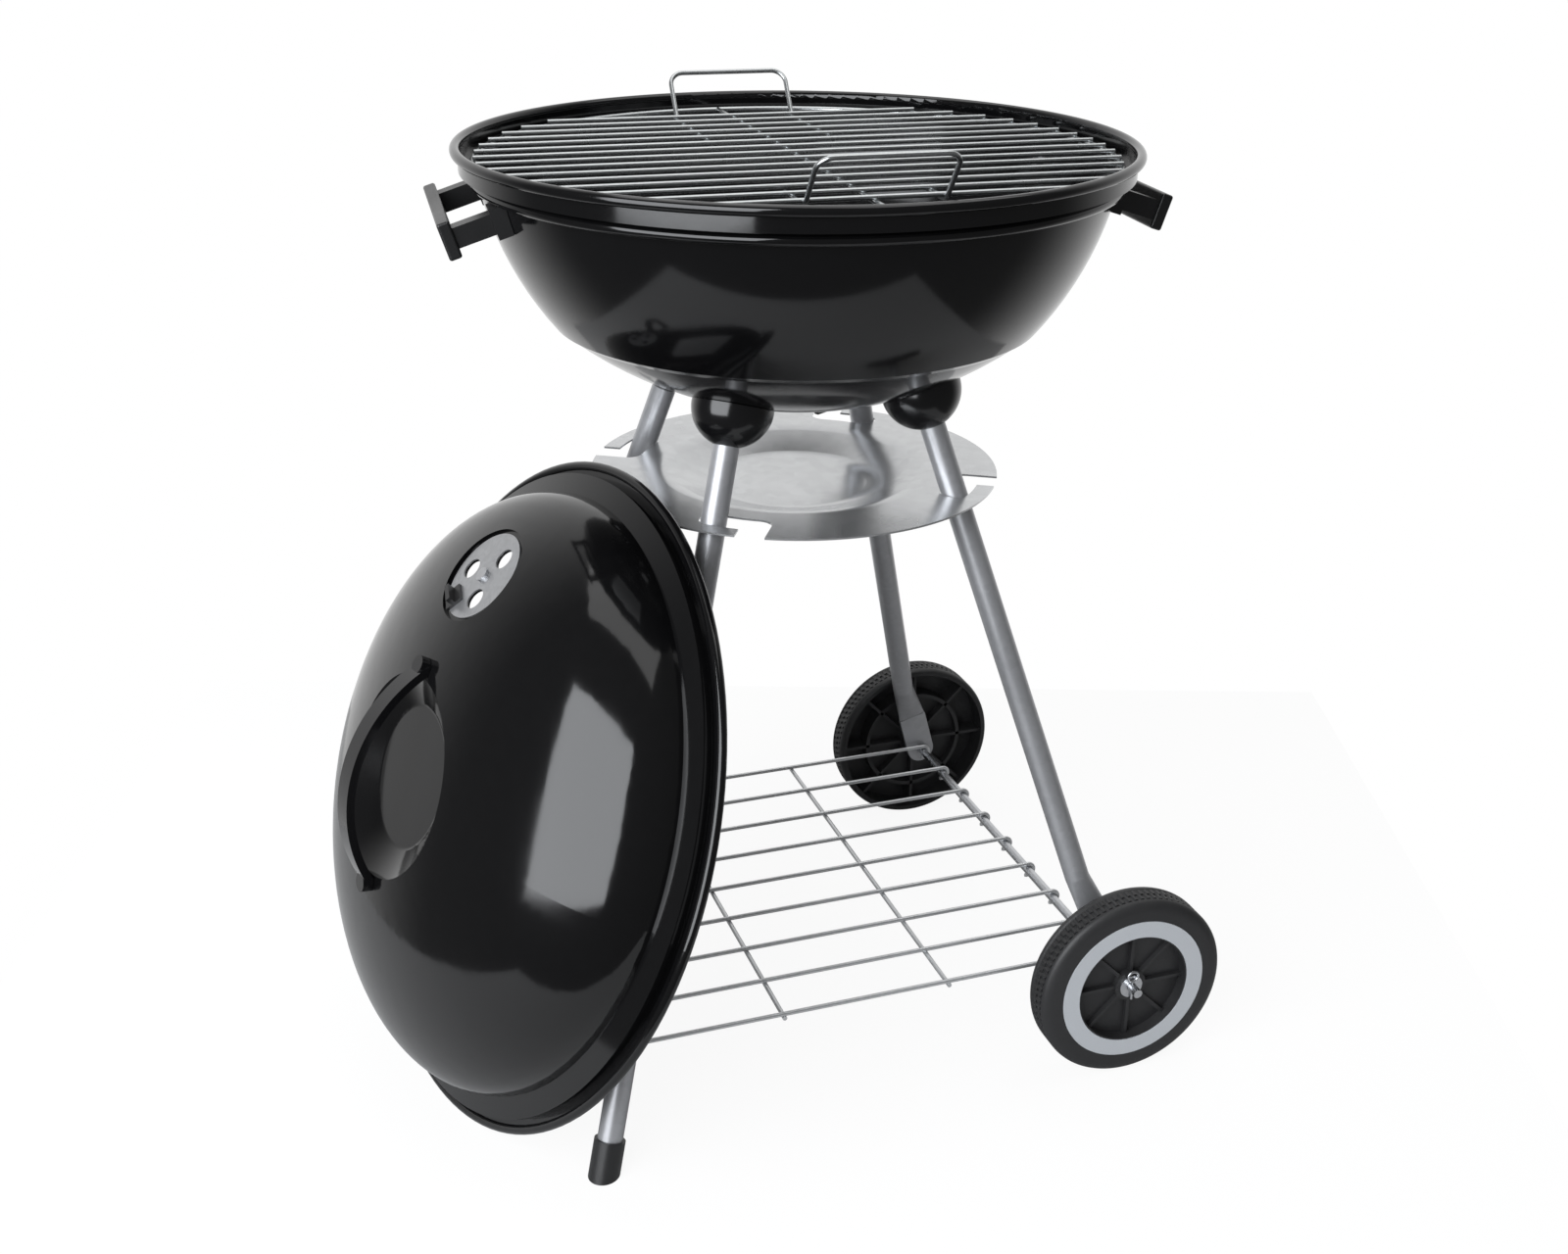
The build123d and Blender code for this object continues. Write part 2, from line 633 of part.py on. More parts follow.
def lid_underside(reach):
    """Height of the lid's rim from below, at a radius from its axis."""
    if reach > lid_radius:
        return lid_radius
    if reach > bead_circle - lid_bead_radius:
        return lid_bead_radius - half_chord(lid_bead_radius, reach - bead_circle)
    if reach > lid_collar_radius - sheet:
        return flange_height - sheet
    share = min(1, (lid_collar_radius - reach) / (lid_collar_radius - dome_foot_radius))
    return lid_collar_height + share * (dome_foot_height - lid_collar_height) - sheet - running_gap


def lid_clears(distance):
    """Say whether the lid's rim is clear of the ash tray's edge at a distance."""
    centre = lid_centre(distance)
    for step in range(-90, 91):
        bearing = turn + radians(step)
        for z in (tray_height, tray_height - tray_thickness):
            offset = Vector(tray_radius * cos(bearing), tray_radius * sin(bearing), z) - centre
            inward = offset.dot(lid_axis)
            reach = (offset - lid_axis * inward).length
            if inward + seat_gap > min(lid_underside(reach - seat_gap), lid_underside(reach + seat_gap)):
                return False
    return True


lid_distance = tray_radius
while not lid_clears(lid_distance):
    lid_distance += 2 * running_gap
lid_plane = Plane(origin=lid_centre(lid_distance), x_dir=lid_up.cross(lid_axis), z_dir=lid_axis)
pieces["lid"] = lid_plane * lid_shell
pieces["lid_handle"] = lid_plane * lid_handle
pieces["lid_handle_screws"] = group([lid_plane * screw for screw in lid_screws])
pieces["lid_vent_rivet"] = lid_plane * (fittings * (vent_plane * rivet))
pieces["lid_damper"] = lid_plane * (fittings * (vent_plane * damper))
pieces["lid_damper_tab"] = lid_plane * (fittings * (vent_plane * damper_tab))

# Bottom centre of the bounding box to the origin, then one file for each piece
boxes = [piece.bounding_box() for piece in pieces.values()]
centre_x = (min(box.min.X for box in boxes) + max(box.max.X for box in boxes)) / 2
centre_y = (min(box.min.Y for box in boxes) + max(box.max.Y for box in boxes)) / 2
to_origin = Pos(-centre_x, -centre_y, -min(box.min.Z for box in boxes))
os.makedirs("parts", exist_ok=True)
for name, piece in pieces.items():
    export_step(to_origin * piece, "parts/" + name + ".step")
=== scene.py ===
import logging
from dataclasses import dataclass, field
from enum import Enum
from math import cos, pi, radians, sin, tau

import bmesh
import bpy
from mathutils import Matrix, Vector


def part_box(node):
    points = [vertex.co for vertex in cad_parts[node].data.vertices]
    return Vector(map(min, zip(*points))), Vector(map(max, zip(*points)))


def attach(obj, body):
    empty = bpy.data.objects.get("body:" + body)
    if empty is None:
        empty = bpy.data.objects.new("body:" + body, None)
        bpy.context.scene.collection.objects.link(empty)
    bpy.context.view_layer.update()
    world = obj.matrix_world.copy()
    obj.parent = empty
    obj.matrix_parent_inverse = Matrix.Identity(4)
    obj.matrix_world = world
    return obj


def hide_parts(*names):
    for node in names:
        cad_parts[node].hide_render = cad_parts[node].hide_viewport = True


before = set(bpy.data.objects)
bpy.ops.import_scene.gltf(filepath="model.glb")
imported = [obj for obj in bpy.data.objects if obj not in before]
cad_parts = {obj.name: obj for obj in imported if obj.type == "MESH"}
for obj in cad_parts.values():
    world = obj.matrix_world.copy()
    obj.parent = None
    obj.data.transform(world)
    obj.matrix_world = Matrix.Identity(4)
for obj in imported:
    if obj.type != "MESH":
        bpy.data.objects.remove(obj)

log = logging.getLogger("grill")

Rgb = tuple[float, float, float]
Point = tuple[float, float, float]
MM = 0.001
WHITE = (1.0, 1.0, 1.0, 1.0)
DUST_COLOR = (0.45, 0.44, 0.42, 1.0)
ROUGHNESS_SCALE = 14.0
PLATE_FACES = ((0, 1, 3, 2), (4, 6, 7, 5), (0, 4, 5, 1), (2, 3, 7, 6), (0, 2, 6, 4), (1, 5, 7, 3))


class Grain(Enum):
    """The small-scale structure that a finish has on its surface."""

    PEEL = "orange peel of fired enamel and lacquer"
    SPANGLE = "zinc crystals of a galvanised sheet"
    DRAWN = "fine ripple of drawn wire and tube"
    MOULDED = "etched skin of moulded plastic"


class Side(Enum):
    """The way along Y that a wheel's outer face looks."""

    FRONT = -1.0
    REAR = 1.0


def bowl_axis() -> Vector:
    """Returns the point where the bowl's axis meets the plane of its rim."""
    low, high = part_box("bowl")
    return Vector(((low[0] + high[0]) / 2, (low[1] + high[1]) / 2, high[2]))


class Wire:
    """Short forms for wiring a node tree."""

    def __init__(self, tree: bpy.types.NodeTree) -> None:
        """Keeps the tree that the nodes go in."""
        self.tree = tree

    def node(self, kind: str, **settings: object) -> bpy.types.Node:
        """Adds a node and sets its properties.

        Args:
            kind: The node's type name in Blender.
            settings: Property names and their values.

        Returns:
            The new node.
        """
        made = self.tree.nodes.new(kind)
        for name, value in settings.items():
            setattr(made, name, value)
        return made

    def link(self, source: bpy.types.NodeSocket, target: bpy.types.NodeSocket) -> None:
        """Joins an output socket to an input socket."""
        self.tree.links.new(source, target)

    def math(self, operation: str, *values: bpy.types.NodeSocket | float) -> bpy.types.NodeSocket:
        """Adds a math node.

        Args:
            operation: Blender's name for the operation.
            values: A socket or a number for each input, in order.

        Returns:
            The node's output.
        """
        made = self.node("ShaderNodeMath", operation=operation)
        for place, value in enumerate(values):
            if isinstance(value, bpy.types.NodeSocket):
                self.link(value, made.inputs[place])
            else:
                made.inputs[place].default_value = value
        return made.outputs[0]


class Effects:
    """The shader node groups that several finishes share.

    Attributes:
        CLOUD_DETAIL: Octaves of the cloudy variation.
        CLOUD_SPREAD: The part of its noise that is spread over the full range.
        RELIEF_DETAIL: Octaves of the fine relief.
        DUST_SCALE: Scale of the dust's patches, per metre.
        DUST_DETAIL: Octaves of the dust's patches.
    """

    CLOUD_DETAIL = 4.0
    CLOUD_SPREAD = (0.3, 0.7)
    RELIEF_DETAIL = 2.0
    DUST_SCALE = 90.0
    DUST_DETAIL = 6.0

    def __init__(self) -> None:
        """Builds every group once."""
        self.mottle = self._mottle()
        self.relief = self._relief()
        self.spangle = self._spangle()
        self.dust = self._dust()

    @staticmethod
    def _group(name: str, inputs: dict[str, float], outputs: dict[str, str]) -> bpy.types.NodeTree:
        """Makes an empty group with its sockets.

        Args:
            name: The group's name.
            inputs: Number inputs and their defaults.
            outputs: Output names and their socket types.

        Returns:
            The group's node tree.
        """
        tree = bpy.data.node_groups.new(name, "ShaderNodeTree")
        for label, value in inputs.items():
            socket = tree.interface.new_socket(label, in_out="INPUT", socket_type="NodeSocketFloat")
            socket.default_value = value
        for label, kind in outputs.items():
            tree.interface.new_socket(label, in_out="OUTPUT", socket_type=kind)
        return tree

    def _mottle(self) -> bpy.types.NodeTree:
        """Builds slow, cloudy variation between two values.

        Returns:
            The group's node tree.
        """
        tree = self._group(
            "cloudy_variation",
            {"Scale": 20.0, "Low": 0.0, "High": 1.0},
            {"Value": "NodeSocketFloat"},
        )
        wire = Wire(tree)
        entry = wire.node("NodeGroupInput")
        leave = wire.node("NodeGroupOutput")
        place = wire.node("ShaderNodeTexCoord")
        noise = wire.node("ShaderNodeTexNoise")
        noise.inputs["Detail"].default_value = self.CLOUD_DETAIL
        spread = wire.node("ShaderNodeMapRange")
        low, high = self.CLOUD_SPREAD
        spread.inputs["From Min"].default_value = low
        spread.inputs["From Max"].default_value = high
        wire.link(place.outputs["Object"], noise.inputs["Vector"])
        wire.link(entry.outputs["Scale"], noise.inputs["Scale"])
        wire.link(noise.outputs["Fac"], spread.inputs["Value"])
        wire.link(entry.outputs["Low"], spread.inputs["To Min"])
        wire.link(entry.outputs["High"], spread.inputs["To Max"])
        wire.link(spread.outputs["Result"], leave.inputs["Value"])
        return tree

    def _relief(self) -> bpy.types.NodeTree:
        """Builds a fine bumpy normal.

        Returns:
            The group's node tree.
        """
        tree = self._group(
            "fine_relief",
            {"Scale": 300.0, "Strength": 0.05, "Depth": 0.0005},
            {"Normal": "NodeSocketVector"},
        )
        wire = Wire(tree)
        entry = wire.node("NodeGroupInput")
        leave = wire.node("NodeGroupOutput")
        place = wire.node("ShaderNodeTexCoord")
        noise = wire.node("ShaderNodeTexNoise")
        noise.inputs["Detail"].default_value = self.RELIEF_DETAIL
        bump = wire.node("ShaderNodeBump")
        wire.link(place.outputs["Object"], noise.inputs["Vector"])
        wire.link(entry.outputs["Scale"], noise.inputs["Scale"])
        wire.link(noise.outputs["Fac"], bump.inputs["Height"])
        wire.link(entry.outputs["Strength"], bump.inputs["Strength"])
        wire.link(entry.outputs["Depth"], bump.inputs["Distance"])
        wire.link(bump.outputs["Normal"], leave.inputs["Normal"])
        return tree

    def _spangle(self) -> bpy.types.NodeTree:
        """Builds the patchwork of zinc crystals.

        Returns:
            The group's node tree.
        """
        tree = self._group(
            "zinc_crystals",
            {"Scale": 120.0, "Low": 0.9, "High": 1.0},
            {"Value": "NodeSocketFloat"},
        )
        wire = Wire(tree)
        entry = wire.node("NodeGroupInput")
        leave = wire.node("NodeGroupOutput")
        place = wire.node("ShaderNodeTexCoord")
        cells = wire.node("ShaderNodeTexVoronoi")
        grey = wire.node("ShaderNodeRGBToBW")
        spread = wire.node("ShaderNodeMapRange")
        wire.link(place.outputs["Object"], cells.inputs["Vector"])
        wire.link(entry.outputs["Scale"], cells.inputs["Scale"])
        wire.link(cells.outputs["Color"], grey.inputs["Color"])
        wire.link(grey.outputs["Val"], spread.inputs["Value"])
        wire.link(entry.outputs["Low"], spread.inputs["To Min"])
        wire.link(entry.outputs["High"], spread.inputs["To Max"])
        wire.link(spread.outputs["Result"], leave.inputs["Value"])
        return tree

    def _dust(self) -> bpy.types.NodeTree:
        """Builds a mask of the thin dust that settles on what faces up.

        Returns:
            The group's node tree.
        """
        tree = self._group("settled_dust", {"Amount": 0.1}, {"Mask": "NodeSocketFloat"})
        wire = Wire(tree)
        entry = wire.node("NodeGroupInput")
        leave = wire.node("NodeGroupOutput")
        shape = wire.node("ShaderNodeNewGeometry")
        split = wire.node("ShaderNodeSeparateXYZ")
        place = wire.node("ShaderNodeTexCoord")
        noise = wire.node("ShaderNodeTexNoise")
        noise.inputs["Scale"].default_value = self.DUST_SCALE
        noise.inputs["Detail"].default_value = self.DUST_DETAIL
        wire.link(shape.outputs["Normal"], split.inputs["Vector"])
        wire.link(place.outputs["Object"], noise.inputs["Vector"])
        upward = wire.math("MAXIMUM", split.outputs["Z"], 0.0)
        patchy = wire.math("MULTIPLY", upward, noise.outputs["Fac"])
        wire.link(wire.math("MULTIPLY", patchy, entry.outputs["Amount"]), leave.inputs["Mask"])
        return tree


@dataclass(frozen=True)
class Finish:
    """One surface finish, as numbers for the shader.

    Attributes:
        name: The material's name.
        color: Base colour, linear.
        metallic: 1 for bare metal.
        roughness: Middle roughness.
        roughness_spread: How far the roughness wanders from the middle.
        grain: The small-scale structure.
        grain_scale: Its scale, per metre.
        grain_strength: Strength of the bump that it makes.
        shade_low: Darkest factor on the colour.
        ior: Index of refraction of a dielectric.
        dust: Amount of settled dust.
    """

    name: str
    color: Rgb
    metallic: float
    roughness: float
    roughness_spread: float
    grain: Grain
    grain_scale: float
    grain_strength: float
    shade_low: float = 0.9
    ior: float = 1.5
    dust: float = 0.0

    def material(self, effects: Effects) -> bpy.types.Material:
        """Builds the material.

        Args:
            effects: The shared node groups.

        Returns:
            The finished material.
        """
        made = bpy.data.materials.new(self.name)
        made.use_nodes = True
        wire = Wire(made.node_tree)
        shader = made.node_tree.nodes["Principled BSDF"]
        shader.inputs["Metallic"].default_value = self.metallic
        shader.inputs["IOR"].default_value = self.ior
        rough = self._effect(
            wire,
            effects.mottle,
            Scale=ROUGHNESS_SCALE,
            Low=self.roughness - self.roughness_spread,
            High=self.roughness + self.roughness_spread,
        )
        wire.link(rough.outputs["Value"], shader.inputs["Roughness"])
        shade_tree = effects.spangle if self.grain is Grain.SPANGLE else effects.mottle
        shade = self._effect(wire, shade_tree, Scale=self.grain_scale, Low=self.shade_low, High=1.0)
        tint = wire.node("ShaderNodeVectorMath", operation="SCALE")
        tint.inputs[0].default_value = self.color
        wire.link(shade.outputs["Value"], tint.inputs["Scale"])
        color = self._dusted(wire, effects, tint.outputs["Vector"])
        wire.link(color, shader.inputs["Base Color"])
        relief = self._effect(
            wire, effects.relief, Scale=self.grain_scale, Strength=self.grain_strength
        )
        wire.link(relief.outputs["Normal"], shader.inputs["Normal"])
        return made

    @staticmethod
    def _effect(wire: Wire, tree: bpy.types.NodeTree, **values: float) -> bpy.types.Node:
        """Adds a shared group and sets its inputs.

        Args:
            wire: The material's tree.
            tree: The group.
            values: Input names and numbers.

        Returns:
            The group node.
        """
        made = wire.node("ShaderNodeGroup", node_tree=tree)
        for label, value in values.items():
            made.inputs[label].default_value = value
        return made

    def _dusted(
        self, wire: Wire, effects: Effects, color: bpy.types.NodeSocket
    ) -> bpy.types.NodeSocket:
        """Lays the dust over a colour.

        Args:
            wire: The material's tree.
            effects: The shared node groups.
            color: The colour below the dust.

        Returns:
            The colour with the dust on it.
        """
        if not self.dust:
            return color
        mask = self._effect(wire, effects.dust, Amount=self.dust)
        mix = wire.node("ShaderNodeMix", data_type="RGBA")
        mix.inputs["B"].default_value = DUST_COLOR
        wire.link(mask.outputs["Mask"], mix.inputs["Factor"])
        wire.link(color, mix.inputs["A"])
        return mix.outputs["Result"]


ENAMEL = Finish(
    name="black_enamel_gloss",
    color=(0.0030, 0.0030, 0.0033),
    metallic=0.0,
    roughness=0.10,
    roughness_spread=0.02,
    grain=Grain.PEEL,
    grain_scale=160.0,
    grain_strength=0.012,
    ior=1.47,
    dust=0.004,
)
PLASTIC = Finish(
    name="black_plastic_satin",
    color=(0.008, 0.008, 0.0085),
    metallic=0.0,
    roughness=0.36,
    roughness_spread=0.06,
    grain=Grain.MOULDED,
    grain_scale=1400.0,
    grain_strength=0.10,
    dust=0.01,
)
TYRE = Finish(
    name="black_plastic_tread",
    color=(0.016, 0.016, 0.017),
    metallic=0.0,
    roughness=0.50,
    roughness_spread=0.08,
    grain=Grain.MOULDED,
    grain_scale=900.0,
    grain_strength=0.16,
    dust=0.03,
)
GLOSS_PLASTIC = Finish(
    name="black_plastic_gloss",
    color=(0.004, 0.004, 0.0045),
    metallic=0.0,
    roughness=0.16,
    roughness_spread=0.04,
    grain=Grain.PEEL,
    grain_scale=300.0,
    grain_strength=0.02,
)
GALVANISED_SHEET = Finish(
    name="galvanised_sheet",
    color=(0.68, 0.69, 0.70),
    metallic=0.85,
    roughness=0.23,
    roughness_spread=0.05,
    grain=Grain.SPANGLE,
    grain_scale=150.0,
    grain_strength=0.02,
    shade_low=0.90,
    dust=0.02,
)
GALVANISED_TUBE = Finish(
    name="galvanised_tube",
    color=(0.40, 0.405, 0.42),
    metallic=0.6,
    roughness=0.36,
    roughness_spread=0.06,
    grain=Grain.SPANGLE,
    grain_scale=260.0,
    grain_strength=0.03,
    shade_low=0.90,
)
CHROME = Finish(
    name="chromed_wire_bright",
    color=(0.47, 0.485, 0.49),
    metallic=0.95,
    roughness=0.26,
    roughness_spread=0.05,
    grain=Grain.DRAWN,
    grain_scale=700.0,
    grain_strength=0.05,
)
SHELF_WIRE = Finish(
    name="chromed_wire_dull",
    color=(0.66, 0.67, 0.68),
    metallic=0.75,
    roughness=0.32,
    roughness_spread=0.05,
    grain=Grain.DRAWN,
    grain_scale=700.0,
    grain_strength=0.05,
)
PLAIN_WIRE = Finish(
    name="plain_steel_wire",
    color=(0.42, 0.42, 0.43),
    metallic=1.0,
    roughness=0.38,
    roughness_spread=0.08,
    grain=Grain.DRAWN,
    grain_scale=500.0,
    grain_strength=0.08,
    dust=0.05,
)
ZINC = Finish(
    name="zinc_plate",
    color=(0.60, 0.61, 0.63),
    metallic=1.0,
    roughness=0.30,
    roughness_spread=0.07,
    grain=Grain.SPANGLE,
    grain_scale=500.0,
    grain_strength=0.05,
    shade_low=0.88,
)
VENT_PLATE = Finish(
    name="dull_zinc_plate",
    color=(0.46, 0.465, 0.475),
    metallic=0.85,
    roughness=0.36,
    roughness_spread=0.06,
    grain=Grain.SPANGLE,
    grain_scale=420.0,
    grain_strength=0.05,
    shade_low=0.85,
)
GREY_PLASTIC = Finish(
    name="light_grey_plastic",
    color=(0.47, 0.49, 0.515),
    metallic=0.0,
    roughness=0.34,
    roughness_spread=0.05,
    grain=Grain.MOULDED,
    grain_scale=1100.0,
    grain_strength=0.05,
    shade_low=0.95,
)


class Paint:
    """Makes each finish's material once and puts it on objects."""

    def __init__(self) -> None:
        """Builds the shared effects."""
        self.effects = Effects()
        self.made: dict[str, bpy.types.Material] = {}

    def material(self, finish: Finish) -> bpy.types.Material:
        """Gives the finish's material, built on first use.

        Args:
            finish: The finish.

        Returns:
            Its material.
        """
        if finish.name not in self.made:
            self.made[finish.name] = finish.material(self.effects)
        return self.made[finish.name]

    def put(self, obj: bpy.types.Object, finish: Finish) -> None:
        """Puts a finish on all of an object's material slots.

        Args:
            obj: The object.
            finish: The finish.
        """
        material = self.material(finish)
        if not obj.material_slots:
            obj.data.materials.append(material)
        for slot in obj.material_slots:
            slot.material = material


@dataclass
class SubAssembly:
    """A group of CAD nodes and the pieces that are added to them.

    Attributes:
        paint: Makes the materials.
        coats: The finish of each CAD node.
    """

    paint: Paint
    coats: dict[str, Finish] = field(default_factory=dict)

    def dress(self) -> None:
        """Puts its finish on every node of the group."""
        for node, finish in self.coats.items():
            self.paint.put(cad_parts[node], finish)
            log.info("%s: %s", node, finish.name)

    def add(
        self, name: str, mesh: bpy.types.Mesh, body: str, slot: str, finish: Finish
    ) -> bpy.types.Object:
        """Adds a new piece that moves with a body.

        Args:
            name: The piece's name.
            mesh: Its mesh, in the shared frame.
            body: The body that it rides on.
            slot: The record's material slot; not used.
            finish: Its finish.

        Returns:
            The new piece.
        """
        piece = bpy.data.objects.new(name, mesh)
        bpy.context.scene.collection.objects.link(piece)
        self.paint.put(piece, finish)
        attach(piece, body)
        log.info("%s: new piece on %s", name, body)
        return piece


@dataclass(frozen=True)
class Bead:
    """A round bead that runs about the bowl.

    Attributes:
        name: The piece's name.
        radius: Radius of the bead's middle line.
        below_rim: Depth of the middle line below the bowl's rim.
        wire: Radius of the bead itself.
    """

    name: str
    radius: float
    below_rim: float
    wire: float

    def mesh(self, axis: Vector, turns: int, sides: int) -> bpy.types.Mesh:
        """Turns the bead.

        Args:
            axis: The bowl's axis, at the height of its rim.
            turns: Steps about the bowl.
            sides: Steps about the bead.

        Returns:
            The bead's mesh.
        """
        form = bmesh.new()
        rows = []
        for turn in range(turns):
            angle = tau * turn / turns
            row = []
            for side in range(sides):
                around = tau * side / sides
                reach = self.radius + self.wire * cos(around)
                lift = self.wire * sin(around) - self.below_rim
                spot = Vector((reach * cos(angle), reach * sin(angle), lift))
                row.append(form.verts.new(axis + spot))
            rows.append(row)
        for first, second in zip(rows, rows[1:] + rows[:1]):
            for side in range(sides):
                after = (side + 1) % sides
                form.faces.new((first[side], second[side], second[after], first[after]))
        bmesh.ops.recalc_face_normals(form, faces=form.faces)
        mesh = bpy.data.meshes.new(self.name)
        form.to_mesh(mesh)
        form.free()
        mesh.shade_smooth()
        return mesh


@dataclass
class Bowl(SubAssembly):
    """The bowl with its side handles and its vent.

    Attributes:
        bead_steps: Steps about the bowl and about the bead.
        bead: The bead that rounds the corner below the collar.
    """

    coats: dict[str, Finish] = field(
        default_factory=lambda: {
            "bowl": ENAMEL,
            "handle_left": PLASTIC,
            "handle_right": PLASTIC,
            "handle_spacers": PLASTIC,
            "handle_screws": ZINC,
            "bowl_damper": VENT_PLATE,
            "bowl_damper_tab": PLASTIC,
            "bowl_vent_rivet": ZINC,
        }
    )
    bead_steps: tuple[int, int] = (256, 16)
    bead: Bead = Bead("bowl_shoulder_bead", radius=194.6 * MM, below_rim=20.0 * MM, wire=3.2 * MM)

    def build(self) -> None:
        """Adds the bead that is pressed into the wall below the collar."""
        mesh = self.bead.mesh(bowl_axis(), *self.bead_steps)
        self.add(self.bead.name, mesh, "stand", "black_enamel", ENAMEL)


@dataclass
class Lid(SubAssembly):
    """The lid with its handle and its vent."""

    coats: dict[str, Finish] = field(
        default_factory=lambda: {
            "lid": ENAMEL,
            "lid_handle": GLOSS_PLASTIC,
            "lid_handle_screws": ZINC,
            "lid_damper": VENT_PLATE,
            "lid_damper_tab": PLASTIC,
            "lid_vent_rivet": ZINC,
        }
    )


@dataclass
class Stand(SubAssembly):
    """The legs, their sockets and feet, the axle, the shelf and the ash tray."""

    coats: dict[str, Finish] = field(
        default_factory=lambda: {
            "ash_tray": GALVANISED_SHEET,
            "axle": ZINC,
            "axle_washers": ZINC,
            "cotter_pin_front": ZINC,
            "cotter_pin_rear": ZINC,
            "foot_cap_front_left": PLASTIC,
            "foot_cap_rear_left": PLASTIC,
            "leg_front_left": GALVANISED_TUBE,
            "leg_rear_left": GALVANISED_TUBE,
            "leg_front_right": GALVANISED_TUBE,
            "leg_rear_right": GALVANISED_TUBE,
            "leg_inserts": ZINC,
            "shelf": SHELF_WIRE,
            "socket_bolts": ZINC,
            "socket_front_left": GLOSS_PLASTIC,
            "socket_rear_left": GLOSS_PLASTIC,
            "socket_front_right": GLOSS_PLASTIC,
            "socket_rear_right": GLOSS_PLASTIC,
        }
    )


@dataclass
class Grates(SubAssembly):
    """The cooking grate and the charcoal grate below it."""

    coats: dict[str, Finish] = field(
        default_factory=lambda: {"cooking_grate": CHROME, "charcoal_grate": PLAIN_WIRE}
    )


